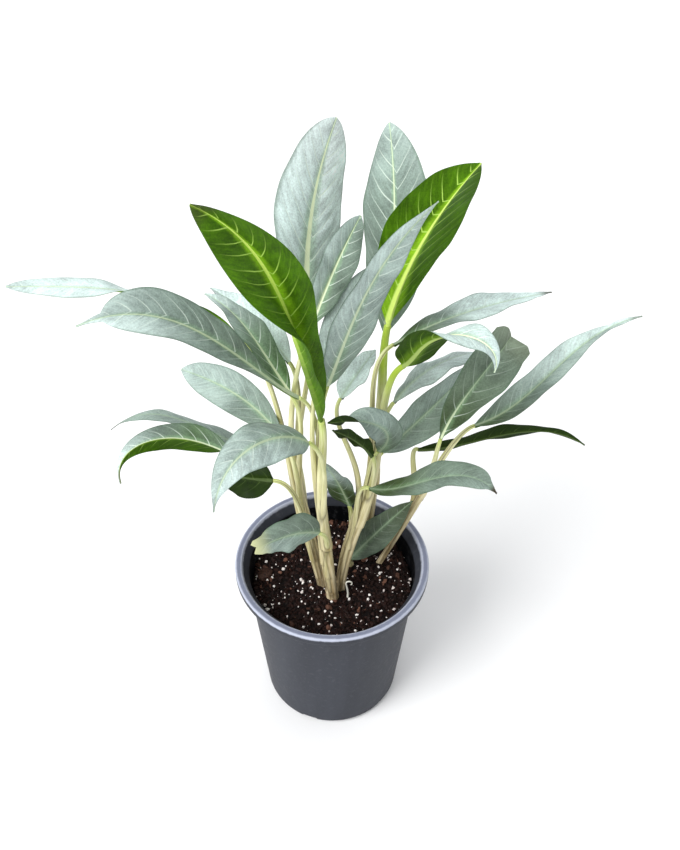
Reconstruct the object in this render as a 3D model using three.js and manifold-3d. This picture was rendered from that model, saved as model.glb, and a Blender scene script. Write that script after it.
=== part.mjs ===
// Potted chinese evergreen: silver-leaved shoots in a round nursery pot.
// Millimetres, +Z up, origin at the centre of the pot's flat underside, front towards -Y.
import * as THREE from 'three';
import { mergeVertices } from 'three/addons/utils/BufferGeometryUtils.js';
import Module from 'manifold-3d';

const wasm = await Module();
wasm.setup();

// ---- driving dimensions -----------------------------------------------------------------

const POT = {
  height: 147,
  baseRadius: 55,
  neckRadius: 67.5,    // outside of the wall just under the rim
  rimRadius: 76,
  rimDrop: 7,          // height of the rolled rim's outer band
  heelRadius: 5,
  wall: 1.8,
  floor: 3,
  sides: 60,
};

const DRAIN = { count: 5, firstAngle: -110, width: 13, height: 5, depth: 9 };

const SOIL = {
  top: 122,
  rise: 2.2,            // how far the crumbly top rises and falls
  inset: 1,             // clearance to the pot's wall
  sides: 40,
  rings: 7,
  holeSides: 14,
  seed: 7,
};

const GAP = 0.3;        // clearance between pieces that rest on each other
const SUNK = 112;       // height at which every cane ends, inside the soil

const BLADE = {
  thickness: 0.75,
  midribDepth: 0.9,     // how far the midrib stands out of the underside
  curl: 0.2,            // droop of the edges, as a share of the half width
  wave: 1.6,            // height of the edge's waves
  waves: 2.4,           // waves along one edge
  sideShift: 2.2,       // phase between the two edges, radians
  calm: 0.7,            // how fast the waves die out towards both ends
  phaseStep: 0.37,      // the waves' start differs by this from leaf to leaf
  baseHalfWidth: 1.5,
  tipHalfWidth: 0.7,
  outline: 1.5,         // sum of the outline's two exponents
  point: 0.15,          // how much the outline is drawn out towards the tip
  rowLength: 10,        // length of one row of triangles
  minRows: 7,
  columns: 4,
  slopeStep: 0.01,      // step for slopes, as a share of the length
  opens: [0.4, 0.8],    // where a rolled blade begins to open and has opened, as shares
  rollEnd: 0.25,        // share of the length over which a roll reaches its full half width
  tailHalfWidth: 3,     // of a drawn-out tip where it leaves the blade
};

const PETIOLE = { baseRadius: 2.4, tipRadius: 1.4, sides: 6, steps: 9, rise: 0.45, bend: 0.2 };
const CANE = { sides: 10, steps: 7 };

// Each shoot is a cane: the points it passes from the soil up, and its lower and upper radius.
const SHOOTS = {
  front: { path: [[1, -17, SUNK], [-2, -17, 150], [-6, -17, 190]], radii: [5.8, 4] },
  right_front: { path: [[7, -8, SUNK], [9, -8, 150], [20, 0, 195]], radii: [4.4, 3.5] },
  rear: { path: [[27, 34, SUNK], [29, 36, 165], [33, 36, 220]], radii: [6, 4] },
  right: { path: [[34, 17, SUNK], [56, 17, 172], [68, 17, 206]], radii: [2.6, 2.2] },
  left: { path: [[-6, -7, SUNK], [-13, -1, 150], [-22, 5, 195]], radii: [4.5, 3.5] },
  young: { path: [[15, 19, SUNK], [15, 16, 123], [14, 12, 134]], radii: [3, 2] },
};

// Each leaf: its shoot, the height where its stalk leaves the cane, the points its midrib
// passes from stalk to tip, its full width, the way its upper face looks, how far the halves
// fold up (0 flat), where it is widest (0 stalk, 1 tip) and its twist in degrees. Taper and
// point draw the outline out towards stalk and tip, tail is the share of the length that is a
// drawn-out tip, and stalk is the radius of a thick stalk. A blade that turns over also has the
// way its upper face looks at the tip. One that is still rolled has a deeper fold at its base
// and the half width of its roll.
const LEAVES = {
  back_left_tall: { shoot: 'left', from: 190, width: 58, fold: 0.1, peak: 0.58, point: 0,
    spine: [[-15, 28, 347], [-17, 52, 382], [-12, 80, 420], [3, 108, 463]], face: [0.7, -0.6, 0.4] },
  back_right_tall: { shoot: 'rear', from: 215, width: 55, fold: 0.1, peak: 0.58, point: 0.12,
    spine: [[36, 45, 334], [42, 85, 404], [38, 120, 454]], face: [-0.6, -0.7, 0.4] },
  new_left: { shoot: 'front', from: 185, width: 48, fold: 0.6, baseFold: 0.92, peak: 0.62, taper: 0.15,
    point: 0, roll: 14, stalk: 4,
    spine: [[-7, -20, 313], [-21, -30, 382], [-33, -43, 437], [-50, -57, 478], [-71, -64, 499]],
    face: [1, 0, 0.1], tipFace: [-0.15, -0.75, 0] },
  new_right: { shoot: 'rear', from: 215, width: 56, fold: 0.6, peak: 0.52, taper: 0.2, stalk: 4,
    spine: [[37, 28, 355], [43, 27, 383], [57, 25, 424], [85, 15, 480]], face: [-0.1, 1, 0.1] },
  centre_upright: { shoot: 'front', from: 180, width: 34, fold: 0.35, peak: 0.45,
    spine: [[-3, -10, 334], [8, -14, 375], [26, -14, 423], [61, 2, 463]], face: [0.5, -0.9, 0] },
  back_centre: { shoot: 'left', from: 186, width: 28, fold: 0.5, peak: 0.58,
    spine: [[-14, 12, 365], [-1, 38, 386], [19, 80, 407]], face: [0.4, -0.6, 0.7] },
  back_inner: { shoot: 'front', from: 182, width: 26, fold: 0.35, peak: 0.5,
    spine: [[-7, 2, 341], [9, 26, 366], [32, 56, 386]], face: [0.2, -0.8, 0.7] },
  back_left_low: { shoot: 'left', from: 188, width: 29, fold: 0.5, peak: 0.5,
    spine: [[-29, 22, 328], [-55, 58, 336], [-88, 94, 339]], face: [0.2, 0, 1] },
  left_inner: { shoot: 'left', from: 184, width: 26, fold: 0.5, peak: 0.5,
    spine: [[-28, -4, 323], [-44, 10, 343], [-59, 26, 357], [-85, 44, 369]], face: [0.5, -0.3, 0.9] },
  left_long: { shoot: 'front', from: 175, width: 37, fold: 0.5, peak: 0.8, taper: 0.5, point: 0.3,
    tail: 0.08, spine: [[-22, -12, 326], [-54, -22, 364], [-99, -32, 405], [-146, -48, 411]],
    face: [0.5, -0.3, 0.7] },
  far_left: { shoot: 'left', from: 180, width: 22, fold: 0.2, peak: 0.6, twist: -145,
    spine: [[-62, 22, 350], [-102, 28, 373], [-147, 32, 381], [-209, 26, 387]], face: [0, 0.5, 0.9] },
  left_middle: { shoot: 'left', from: 172, width: 33, fold: 0.5, peak: 0.58,
    spine: [[-34, 0, 276], [-49, 18, 283], [-78, 46, 285], [-113, 74, 279]], face: [-0.4, -0.5, 0.8] },
  left_drooping: { shoot: 'left', from: 165, width: 26, fold: 0.1, peak: 0.42,
    spine: [[-36, 36, 230], [-81, 44, 236], [-128, 55, 250], [-169, 54, 236]], face: [0.1, 0.3, 1] },
  left_curled: { shoot: 'left', from: 158, width: 25, fold: 0.35, peak: 0.5, taper: 0.9, point: 0.9,
    spine: [[-36, 20, 249], [-82, 23, 246], [-122, 17, 262], [-146, 4, 259], [-151, -8, 241]],
    face: [0, 0.3, 1], tipFace: [-0.6, 1, -1] },
  front_left_big: { shoot: 'front', from: 165, width: 32, fold: 0.1, peak: 0.45, point: 0.3,
    spine: [[-15, -38, 310], [-43, -65, 336], [-60, -88, 338], [-70, -105, 317]], face: [0.4, 0, 0.9] },
  left_lowest: { shoot: 'left', from: 150, width: 32, fold: 0.35, peak: 0.5,
    spine: [[-42, -8, 244], [-59, -1, 239], [-86, 10, 233]], face: [0.7, 0.5, -0.5] },
  front_small: { shoot: 'front', from: 150, width: 32, fold: 0.1, peak: 0.5,
    spine: [[-9, -34, 217], [-29, -48, 231], [-55, -62, 230]], face: [0.5, -0.8, 0.1] },
  front_right_small: { shoot: 'young', from: 124, width: 26, fold: 0.35, peak: 0.45,
    spine: [[14, 10, 136], [35, 6, 173], [59, -2, 216]], face: [-0.4, -0.9, 0.1] },
  right_low: { shoot: 'right_front', from: 170, width: 28, fold: 0.35, peak: 0.5, point: -0.25,
    tail: 0.06, spine: [[27, -8, 236], [68, -20, 257], [97, -30, 269], [112, -38, 262]],
    face: [-0.2, 0, 1] },
  right_thin: { shoot: 'right', from: 185, width: 18, fold: 0.5, peak: 0.45,
    spine: [[65, 40, 229], [113, 50, 229], [162, 50, 238], [192, 42, 231]], face: [-0.1, 1, 0.2] },
  far_right: { shoot: 'right', from: 198, width: 29, fold: 0.5, peak: 0.45, tail: 0.1,
    spine: [[106, 40, 253], [146, 56, 270], [184, 68, 309], [222, 72, 330]], face: [-0.6, -0.3, 0.7] },
  right_broad: { shoot: 'right', from: 202, width: 40, fold: 0.5, peak: 0.6, point: -0.25,
    spine: [[77, 8, 270], [95, 13, 312], [114, 22, 339], [124, 35, 345]], face: [0, -1, 0.2] },
  right_twisted: { shoot: 'right_front', from: 190, width: 34, fold: 0.35, peak: 0.35, point: 0, stalk: 3.2,
    spine: [[47, 4, 340], [58, -5, 363], [80, -17, 381], [95, -25, 379], [100, -31, 363]],
    face: [-0.3, 1, -0.2], tipFace: [0.4, -0.6, 1] },
  right_high: { shoot: 'right_front', from: 188, width: 30, fold: 0.35, peak: 0.72, point: 0.35,
    tail: 0.08, spine: [[41, 20, 345], [73, 38, 350], [114, 58, 351], [154, 72, 351]],
    face: [-0.1, 0.1, 1] },
  right_inner: { shoot: 'rear', from: 190, width: 30, fold: 0.1, peak: 0.55,
    spine: [[44, 30, 285], [67, 50, 296], [110, 75, 295]], face: [-0.3, 0.2, 0.9] },
  right_middle: { shoot: 'rear', from: 175, width: 34, fold: 0.5, peak: 0.5,
    spine: [[37, 18, 247], [69, 32, 274], [105, 55, 302]], face: [0.2, -0.9, 0.4] },
  centre_arched: { shoot: 'right_front', from: 180, width: 24, fold: 0.35, peak: 0.4, point: -0.15,
    spine: [[33, 4, 261], [37, -7, 290], [20, -20, 312], [-3, -28, 318]], face: [0.6, -2.7, 1.2],
    tipFace: [0, 1, 0] },
  centre_narrow: { shoot: 'right_front', from: 184, width: 16, fold: 0.35, peak: 0.5,
    spine: [[28, -4, 265], [15, -14, 290], [0, -24, 308]], face: [0.3, 0.8, 0.5],
    tipFace: [0.2, 0.9, -0.3] },
  centre_low: { shoot: 'right_front', from: 158, width: 24, fold: 0.35, peak: 0.5,
    spine: [[13, 8, 200], [4, 2, 232], [-6, -4, 258]], face: [-0.4, -0.8, 0.6] },
  back_pale: { shoot: 'right_front', from: 186, width: 26, fold: 0.5, peak: 0.5,
    spine: [[6, 8, 308], [19, 24, 319], [30, 37, 327]], face: [-0.3, -0.1, 1] },
};

const LOOKS = {
  pot: { color: 0x4a4c52, roughness: 0.55, metalness: 0 },
  soil: { color: 0x35221a, roughness: 0.95, metalness: 0 },
  stalk: { color: 0xb9c48a, roughness: 0.5, metalness: 0 },
  silver: { color: 0x9fb3aa, roughness: 0.45, metalness: 0 },
  green: { color: 0x3f7a16, roughness: 0.45, metalness: 0 },
};

const GREEN_LEAVES = ['new_left', 'new_right', 'left_lowest', 'right_thin', 'centre_narrow'];

// ---- shared helpers ---------------------------------------------------------------------

const plant = new THREE.Group();

const vector = (point) => new THREE.Vector3(...point);

function addPiece(name, geometry, look) {
  const mesh = new THREE.Mesh(geometry, new THREE.MeshStandardMaterial(LOOKS[look]));
  mesh.name = name;
  plant.add(mesh);
}

function toSolid(geometry) {
  const bare = geometry.clone();
  bare.deleteAttribute('normal');
  bare.deleteAttribute('uv');
  const merged = mergeVertices(bare, 1e-4);
  return new wasm.Manifold(new wasm.Mesh({
    numProp: 3,
    vertProperties: new Float32Array(merged.attributes.position.array),
    triVerts: new Uint32Array(merged.index.array),
  }));
}

function toGeometry(solid) {
  const mesh = solid.getMesh();
  const geometry = new THREE.BufferGeometry();
  geometry.setAttribute('position', new THREE.BufferAttribute(mesh.vertProperties, 3));
  geometry.setIndex(new THREE.BufferAttribute(mesh.triVerts, 1));
  geometry.computeVertexNormals();
  return geometry;
}

// Small repeatable random numbers from 0 to 1.
function makeRandom(seed) {
  let state = seed;
  return () => {
    state = (state * 16807) % 2147483647;
    return state / 2147483647;
  };
}

// A smooth curve through a few points, spaced by the straight distances between them.
class ThroughPoints extends THREE.Curve {
  constructor(points) {
    super();
    this.points = points.map(vector);
    const lengths = [0];
    for (let i = 1; i < points.length; i += 1) {
      lengths.push(lengths[i - 1] + this.points[i].distanceTo(this.points[i - 1]));
    }
    this.knots = lengths.map((length) => length / lengths[lengths.length - 1]);
    this.span = lengths[lengths.length - 1];
  }

  getPoint(t, target = new THREE.Vector3()) {
    target.set(0, 0, 0);
    this.points.forEach((point, i) => {
      let weight = 1;
      this.knots.forEach((knot, j) => {
        if (j !== i) weight *= (t - knot) / (this.knots[i] - knot);
      });
      target.addScaledVector(point, weight);
    });
    return target;
  }
}

// A closed skin over equal, even rings of points; a strip of triangles closes each end. The
// second half of each ring is split the other way, so that both faces of a blade split alike.
function skinRings(rings) {
  const sides = rings[0].length;
  const positions = rings.flat().flatMap((point) => point.toArray());
  const index = [];
  for (let i = 0; i + 1 < rings.length; i += 1) {
    for (let j = 0; j < sides; j += 1) {
      const here = i * sides + j;
      const next = i * sides + ((j + 1) % sides);
      if (j < sides / 2) index.push(here, next, next + sides, here, next + sides, here + sides);
      else index.push(here, next, here + sides, next, next + sides, here + sides);
    }
  }
  const last = (rings.length - 1) * sides;
  for (let j = 0; j + 1 < sides / 2; j += 1) {
    const across = sides - 1 - j;
    index.push(j, across - 1, j + 1, j, across, across - 1);
    index.push(last + j, last + j + 1, last + across - 1, last + j, last + across - 1, last + across);
  }
  const geometry = new THREE.BufferGeometry();
  geometry.setAttribute('position', new THREE.Float32BufferAttribute(positions, 3));
  geometry.setIndex(index);
  geometry.computeVertexNormals();
  return geometry;
}

// A round rod along a curve whose radius goes evenly from one end to the other.
function taperedRod(curve, startRadius, endRadius, sides, steps) {
  const frames = curve.computeFrenetFrames(steps, false);
  const rings = [];
  for (let i = 0; i <= steps; i += 1) {
    const share = i / steps;
    const centre = curve.getPointAt(share);
    const radius = THREE.MathUtils.lerp(startRadius, endRadius, share);
    const ring = [];
    for (let j = 0; j < sides; j += 1) {
      const angle = (2 * Math.PI * j) / sides;
      ring.push(centre.clone()
        .addScaledVector(frames.normals[i], radius * Math.cos(angle))
        .addScaledVector(frames.binormals[i], radius * Math.sin(angle)));
    }
    rings.push(ring);
  }
  return skinRings(rings);
}

// ---- leaves -----------------------------------------------------------------------------

function halfWidthAt(leaf, t) {
  const rise = BLADE.outline * leaf.peak + (leaf.taper ?? 0);
  const fall = BLADE.outline * (1 - leaf.peak) + (leaf.point ?? BLADE.point);
  const peak = rise / (rise + fall);
  const highest = peak ** rise * (1 - peak) ** fall;
  const body = Math.min(t / (1 - (leaf.tail ?? 0)), 1);
  const share = (body ** rise * (1 - body) ** fall) / highest;
  const least = THREE.MathUtils.lerp(BLADE.baseHalfWidth, BLADE.tipHalfWidth, t);
  const roll = (leaf.roll ?? 0) * (1 - Math.max(1 - t / BLADE.rollEnd, 0) ** 2);
  const tail = leaf.tail ? BLADE.tailHalfWidth * Math.min((1 - t) / leaf.tail, 1) : 0;
  return Math.max((leaf.width / 2) * share, least, t < leaf.peak ? roll : tail);
}

function frameAt(leaf, spine, t) {
  const step = BLADE.slopeStep / 10;
  const tangent = spine.getPoint(t + step).sub(spine.getPoint(t - step)).normalize();
  const face = vector(leaf.face).lerp(vector(leaf.tipFace ?? leaf.face), t);
  const up = face.addScaledVector(tangent, -face.dot(tangent)).normalize();
  up.applyAxisAngle(tangent, THREE.MathUtils.degToRad(leaf.twist ?? 0) * (t - 0.5));
  return { point: spine.getPoint(t), tangent, up, side: tangent.clone().cross(up) };
}

// Point of the blade's upper face: t runs from stalk to tip, u from -1 to 1 across.
function bladePoint(leaf, spine, t, u) {
  const { point, up, side } = frameAt(leaf, spine, t);
  const half = halfWidthAt(leaf, t);
  const shift = u > 0 ? 0 : BLADE.sideShift;
  const ripple = Math.sin(2 * Math.PI * (BLADE.waves * t + leaf.phase) + shift);
  const calm = Math.sin(Math.PI * t) ** BLADE.calm;
  const opened = THREE.MathUtils.smoothstep(t, ...BLADE.opens);
  const fold = THREE.MathUtils.lerp(leaf.baseFold ?? leaf.fold, leaf.fold, opened);
  const height = half * (fold * Math.abs(u) - BLADE.curl * u * u)
    + BLADE.wave * u * u * calm * ripple;
  const reach = u * half * Math.sqrt(1 - fold ** 2);
  return point.addScaledVector(side, reach).addScaledVector(up, height);
}

// The blade's cross section is a ring: over the upper face, then back under the lower face.
function bladeGeometry(leaf) {
  const spine = new ThroughPoints(leaf.spine);
  const rows = Math.max(BLADE.minRows, Math.round(spine.span / BLADE.rowLength));
  const step = BLADE.slopeStep;
  const rings = [];
  for (let i = 0; i <= rows; i += 1) {
    const t = i / rows;
    const inner = THREE.MathUtils.clamp(t, step, 1 - step);
    const upper = [];
    const lower = [];
    for (let j = 0; j <= BLADE.columns; j += 1) {
      const u = (2 * j) / BLADE.columns - 1;
      const at = (dt, du) => bladePoint(leaf, spine, inner + dt, u + du);
      const point = bladePoint(leaf, spine, t, u);
      const along = at(step, 0).sub(at(-step, 0));
      const across = at(0, step).sub(at(0, -step));
      const down = along.cross(across).normalize();
      const keel = u === 0 ? BLADE.midribDepth * (1 - t) : 0;
      upper.push(point);
      lower.unshift(point.clone().addScaledVector(down, BLADE.thickness + keel));
    }
    rings.push([...upper, ...lower]);
  }
  return skinRings(rings);
}

// ---- stalks and canes -------------------------------------------------------------------

function pointAtHeight(curve, height) {
  const halvings = 30;
  let low = 0;
  let high = 1;
  for (let i = 0; i < halvings; i += 1) {
    const middle = (low + high) / 2;
    if (curve.getPoint(middle).z < height) low = middle;
    else high = middle;
  }
  return curve.getPoint(low);
}

// The stalk leaves its cane almost along it and runs into the blade along the midrib.
function petioleCurve(leaf, cane) {
  const start = pointAtHeight(cane, leaf.from);
  const { tangent } = frameAt(leaf, new ThroughPoints(leaf.spine), 0);
  const end = vector(leaf.spine[0]).addScaledVector(tangent, -GAP);
  const reach = start.distanceTo(end);
  const near = start.clone().addScaledVector(cane.getTangent(1), PETIOLE.rise * reach);
  const far = end.clone().addScaledVector(tangent, -PETIOLE.bend * reach);
  return new THREE.CubicBezierCurve3(start, near, far, end);
}

function shootSolid(name) {
  const { path, radii } = SHOOTS[name];
  const cane = new ThroughPoints(path);
  let solid = toSolid(taperedRod(cane, ...radii, CANE.sides, CANE.steps));
  for (const leaf of Object.values(LEAVES).filter((each) => each.shoot === name)) {
    const thick = leaf.stalk ?? PETIOLE.baseRadius;
    const rod = taperedRod(petioleCurve(leaf, cane), thick, PETIOLE.tipRadius,
      PETIOLE.sides, PETIOLE.steps);
    solid = solid.add(toSolid(rod));
  }
  return solid;
}

// ---- pot and soil -----------------------------------------------------------------------

function wallRadiusAt(height) {
  const neckHeight = POT.height - POT.rimDrop;
  return THREE.MathUtils.mapLinear(height, 0, neckHeight, POT.baseRadius, POT.neckRadius);
}

function potGeometry() {
  const { height, rimDrop, rimRadius, heelRadius, wall, floor, sides } = POT;
  const neckHeight = height - rimDrop;
  const lip = 1.5;
  const profile = [new THREE.Vector2(0, 0)];
  for (let i = 0; i <= 4; i += 1) {
    const angle = (Math.PI / 2) * (i / 4);
    profile.push(new THREE.Vector2(
      wallRadiusAt(heelRadius) - heelRadius + heelRadius * Math.sin(angle),
      heelRadius - heelRadius * Math.cos(angle),
    ));
  }
  profile.push(
    new THREE.Vector2(wallRadiusAt(neckHeight), neckHeight),
    new THREE.Vector2(rimRadius - lip, neckHeight),
    new THREE.Vector2(rimRadius, neckHeight + lip),
    new THREE.Vector2(rimRadius, height - lip),
    new THREE.Vector2(rimRadius - lip, height),
    new THREE.Vector2(wallRadiusAt(neckHeight) + lip / 2, height),
    new THREE.Vector2(wallRadiusAt(neckHeight) - wall, height - lip),
    new THREE.Vector2(wallRadiusAt(heelRadius) - wall, heelRadius + floor),
    new THREE.Vector2(wallRadiusAt(heelRadius) - wall - heelRadius / 2, floor),
    new THREE.Vector2(0, floor),
  );
  const turned = new THREE.LatheGeometry(profile, sides);
  turned.rotateX(Math.PI / 2);
  let solid = toSolid(turned);
  for (let i = 0; i < DRAIN.count; i += 1) {
    const angle = THREE.MathUtils.degToRad(DRAIN.firstAngle + (360 / DRAIN.count) * i);
    const notch = new THREE.BoxGeometry(2 * DRAIN.depth, DRAIN.width, 2 * DRAIN.height);
    notch.translate(POT.baseRadius, 0, 0);
    notch.rotateZ(angle);
    solid = solid.subtract(toSolid(notch));
  }
  return toGeometry(solid);
}

// The soil is one mass that fills the pot; its crumbly top rises and falls a little.
function soilGeometry() {
  const random = makeRandom(SOIL.seed);
  const inside = (height) => wallRadiusAt(height) - POT.wall - SOIL.inset;
  const low = POT.floor + GAP;
  const bend = POT.heelRadius + POT.floor + GAP;
  const ringAt = (radius, heightOf) => Array.from({ length: SOIL.sides }, (_, j) => {
    const angle = (2 * Math.PI * j) / SOIL.sides;
    return new THREE.Vector3(radius * Math.cos(angle), radius * Math.sin(angle), heightOf());
  });
  const rings = [
    ringAt(inside(POT.heelRadius) - POT.heelRadius / 2, () => low),
    ringAt(inside(POT.heelRadius), () => bend),
    ringAt(inside(SOIL.top), () => SOIL.top),
  ];
  for (let i = 1; i < SOIL.rings; i += 1) {
    const radius = inside(SOIL.top) * (1 - i / SOIL.rings);
    rings.push(ringAt(radius, () => SOIL.top + SOIL.rise * random()));
  }
  let solid = toSolid(skinRings(rings));
  for (const { path, radii } of Object.values(SHOOTS)) {
    const deep = new THREE.Vector3(...path[0]);
    const cane = new ThroughPoints(path);
    const below = deep.clone().addScaledVector(cane.getTangent(0), -2 * GAP);
    const above = pointAtHeight(cane, SOIL.top + 3 * SOIL.rise);
    const hole = new THREE.LineCurve3(below, above);
    const holeRadius = radii[0] + 3 * GAP;
    solid = solid.subtract(toSolid(taperedRod(hole, holeRadius, holeRadius, SOIL.holeSides, 1)));
  }
  return toGeometry(solid);
}

// ---- assembly ---------------------------------------------------------------------------

Object.values(LEAVES).forEach((leaf, i) => {
  leaf.phase = BLADE.phaseStep * i;
});

addPiece('pot', potGeometry(), 'pot');
addPiece('soil', soilGeometry(), 'soil');
for (const name of Object.keys(SHOOTS)) {
  addPiece(`shoot_${name}`, toGeometry(shootSolid(name)), 'stalk');
}
for (const [name, leaf] of Object.entries(LEAVES)) {
  addPiece(`leaf_${name}`, bladeGeometry(leaf), GREEN_LEAVES.includes(name) ? 'green' : 'silver');
}

export default plant;
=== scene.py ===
"""The looks of a potted chinese evergreen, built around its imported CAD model.

Sizes are in millimetres in the tables and are turned to metres where a mesh is made. The frame
is the CAD's: origin under the middle of the pot, +Z up, front towards -Y.
"""

import math
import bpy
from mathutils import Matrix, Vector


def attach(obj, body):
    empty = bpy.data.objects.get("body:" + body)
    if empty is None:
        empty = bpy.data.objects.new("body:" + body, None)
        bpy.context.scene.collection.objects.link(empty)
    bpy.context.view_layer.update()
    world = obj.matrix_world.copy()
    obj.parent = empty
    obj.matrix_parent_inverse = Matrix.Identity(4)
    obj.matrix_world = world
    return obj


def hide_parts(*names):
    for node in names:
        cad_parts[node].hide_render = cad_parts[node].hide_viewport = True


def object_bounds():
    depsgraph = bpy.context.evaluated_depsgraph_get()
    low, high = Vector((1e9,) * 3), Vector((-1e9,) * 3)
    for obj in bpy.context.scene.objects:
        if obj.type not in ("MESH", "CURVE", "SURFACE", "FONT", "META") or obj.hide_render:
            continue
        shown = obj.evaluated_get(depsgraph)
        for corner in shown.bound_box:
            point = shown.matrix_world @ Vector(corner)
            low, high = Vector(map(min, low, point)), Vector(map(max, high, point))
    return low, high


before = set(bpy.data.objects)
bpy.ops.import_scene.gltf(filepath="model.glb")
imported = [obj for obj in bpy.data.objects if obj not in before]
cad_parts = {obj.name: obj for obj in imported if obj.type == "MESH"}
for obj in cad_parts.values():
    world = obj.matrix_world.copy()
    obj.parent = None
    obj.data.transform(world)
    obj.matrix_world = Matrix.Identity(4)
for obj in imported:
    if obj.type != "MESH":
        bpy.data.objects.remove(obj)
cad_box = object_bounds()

from types import SimpleNamespace as Sizes

import bmesh
import bpy
import numpy as np
from mathutils import Matrix, Vector, noise

MM = 0.001

# ---- driving dimensions ----

# Sizes that the CAD has too are the same there, except new_left's point, which is 0 in the CAD.
# Counts of sides and rings are finer here.
POT = Sizes(height=147, base_radius=55, neck_radius=67.5, rim_radius=76, rim_drop=7, heel_radius=5,
            wall=1.8, floor=3, lip_radius=73.2, sides=192)
DRAIN = Sizes(count=5, first_angle=-110, width=13, height=5, depth=9, corner=1.6)
SOIL = Sizes(top=122, rise=2.2, inset=1, floor_gap=0.3, round_edge=0.4, around=150, rings=56)
LUMP = Sizes(centre=(-53, 3, 124), size=(6.5, 6, 4), rough=0.3, gritty=0.12)
BLADE = Sizes(curl=0.2, wave=1.6, waves=2.4, side_shift=2.2, small_wave=0.3, small_waves=6.1,
              calm=0.7, phase_step=0.37, base_half_width=1.5, tip_half_width=0.7, outline=1.5,
              row_length=1.5, half_columns=12, crowding=0.85, skin=0.34, margin_skin=0.2,
              opens=(0.4, 0.8), roll_end=0.25, tail_half_width=3, blunt=0.84)
RIB = Sizes(height=1.5, fade=1.2, least=0.25, half_width=1.5, narrowing=0.9)
VEIN = Sizes(gap=8.5, gap_per_width=0.09, lean=0.84, bend=0.5, uneven=0.1, uneven_pace=2.3,
             pucker=0.03)
PETIOLE = Sizes(rise=0.45, bend=0.2, gap=0.3, groove=0.25)
STEM = Sizes(cane_sides=28, stalk_sides=18, cane_step=1.2, stalk_step=1.5, slim=0.86,
             ring_gap=13, ring_width=1.1, ring_rise=0.08, foot_swell=0.2, foot_length=9,
             clasp=0.62, sheath=40, sheath_swell=0.3, thin_foot=0.6, buried=5, crevice=(-0.2, 0.9),
             apart=1.1, all_round=5.5)
ROOT = Sizes(foot=(11.5, -18, 118), straight=0.7, rise=22, sway=0.9, hook=2.3, hook_turn=230,
             radius=1.0, thinning=0.5, length=30, rings=60, sides=12)
SUNK = 112

# Each shoot is a cane: the points it passes from the soil up, and its lower and upper radius.
SHOOTS = {
    "front": Sizes(path=[(1, -17, SUNK), (-2, -17, 150), (-6, -17, 190)], radii=(5.8, 4)),
    "right_front": Sizes(path=[(7, -8, SUNK), (9, -8, 150), (20, 0, 195)], radii=(4.4, 3.5)),
    "rear": Sizes(path=[(27, 34, SUNK), (29, 36, 165), (33, 36, 220)], radii=(6, 4)),
    "right": Sizes(path=[(34, 17, SUNK), (56, 17, 172), (68, 17, 206)], radii=(2.6, 2.2)),
    "left": Sizes(path=[(-6, -7, SUNK), (-13, -1, 150), (-22, 5, 195)], radii=(4.5, 3.5)),
    "young": Sizes(path=[(15, 19, SUNK), (15, 16, 123), (14, 12, 134)], radii=(3, 2)),
}

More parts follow.
